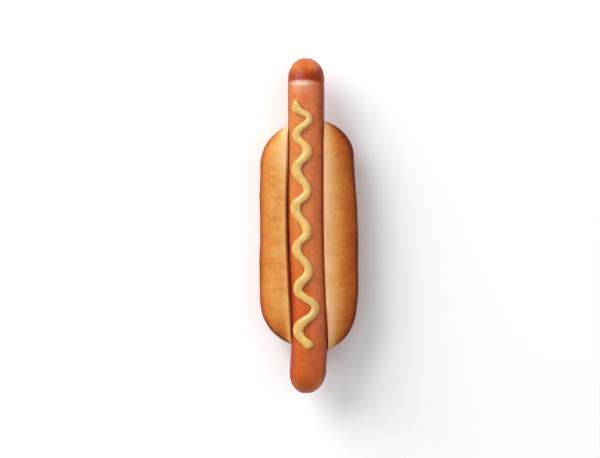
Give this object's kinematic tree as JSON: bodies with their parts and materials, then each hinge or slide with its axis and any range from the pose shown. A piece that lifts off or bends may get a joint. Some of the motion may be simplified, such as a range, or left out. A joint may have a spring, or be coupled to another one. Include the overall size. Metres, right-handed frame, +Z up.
{
  "type": "hot dog",
  "caption": "Hot dog: a long smooth frankfurter lying in the slot of a soft bun, standing out at both ends, with a squiggle of mustard along its top.",
  "frame": {"origin": "on the ground, below the middle of the whole hot dog's box", "axes": "+Y along the sausage towards its back end, +X to the right, +Z up out of the bun's slot"},
  "size_m": [0.0642, 0.2182, 0.0417],
  "materials": {
    "bread": "soft baked crust, golden brown at the sides and pale beside the slot",
    "sausage_skin": "satin reddish orange skin with fine mottling",
    "mustard": "smooth pale yellow sauce with a soft sheen"
  },
  "bodies": {
    "root": {"bun": "bread", "sausage": "sausage_skin", "mustard": "mustard"}
  },
  "joints": []
}
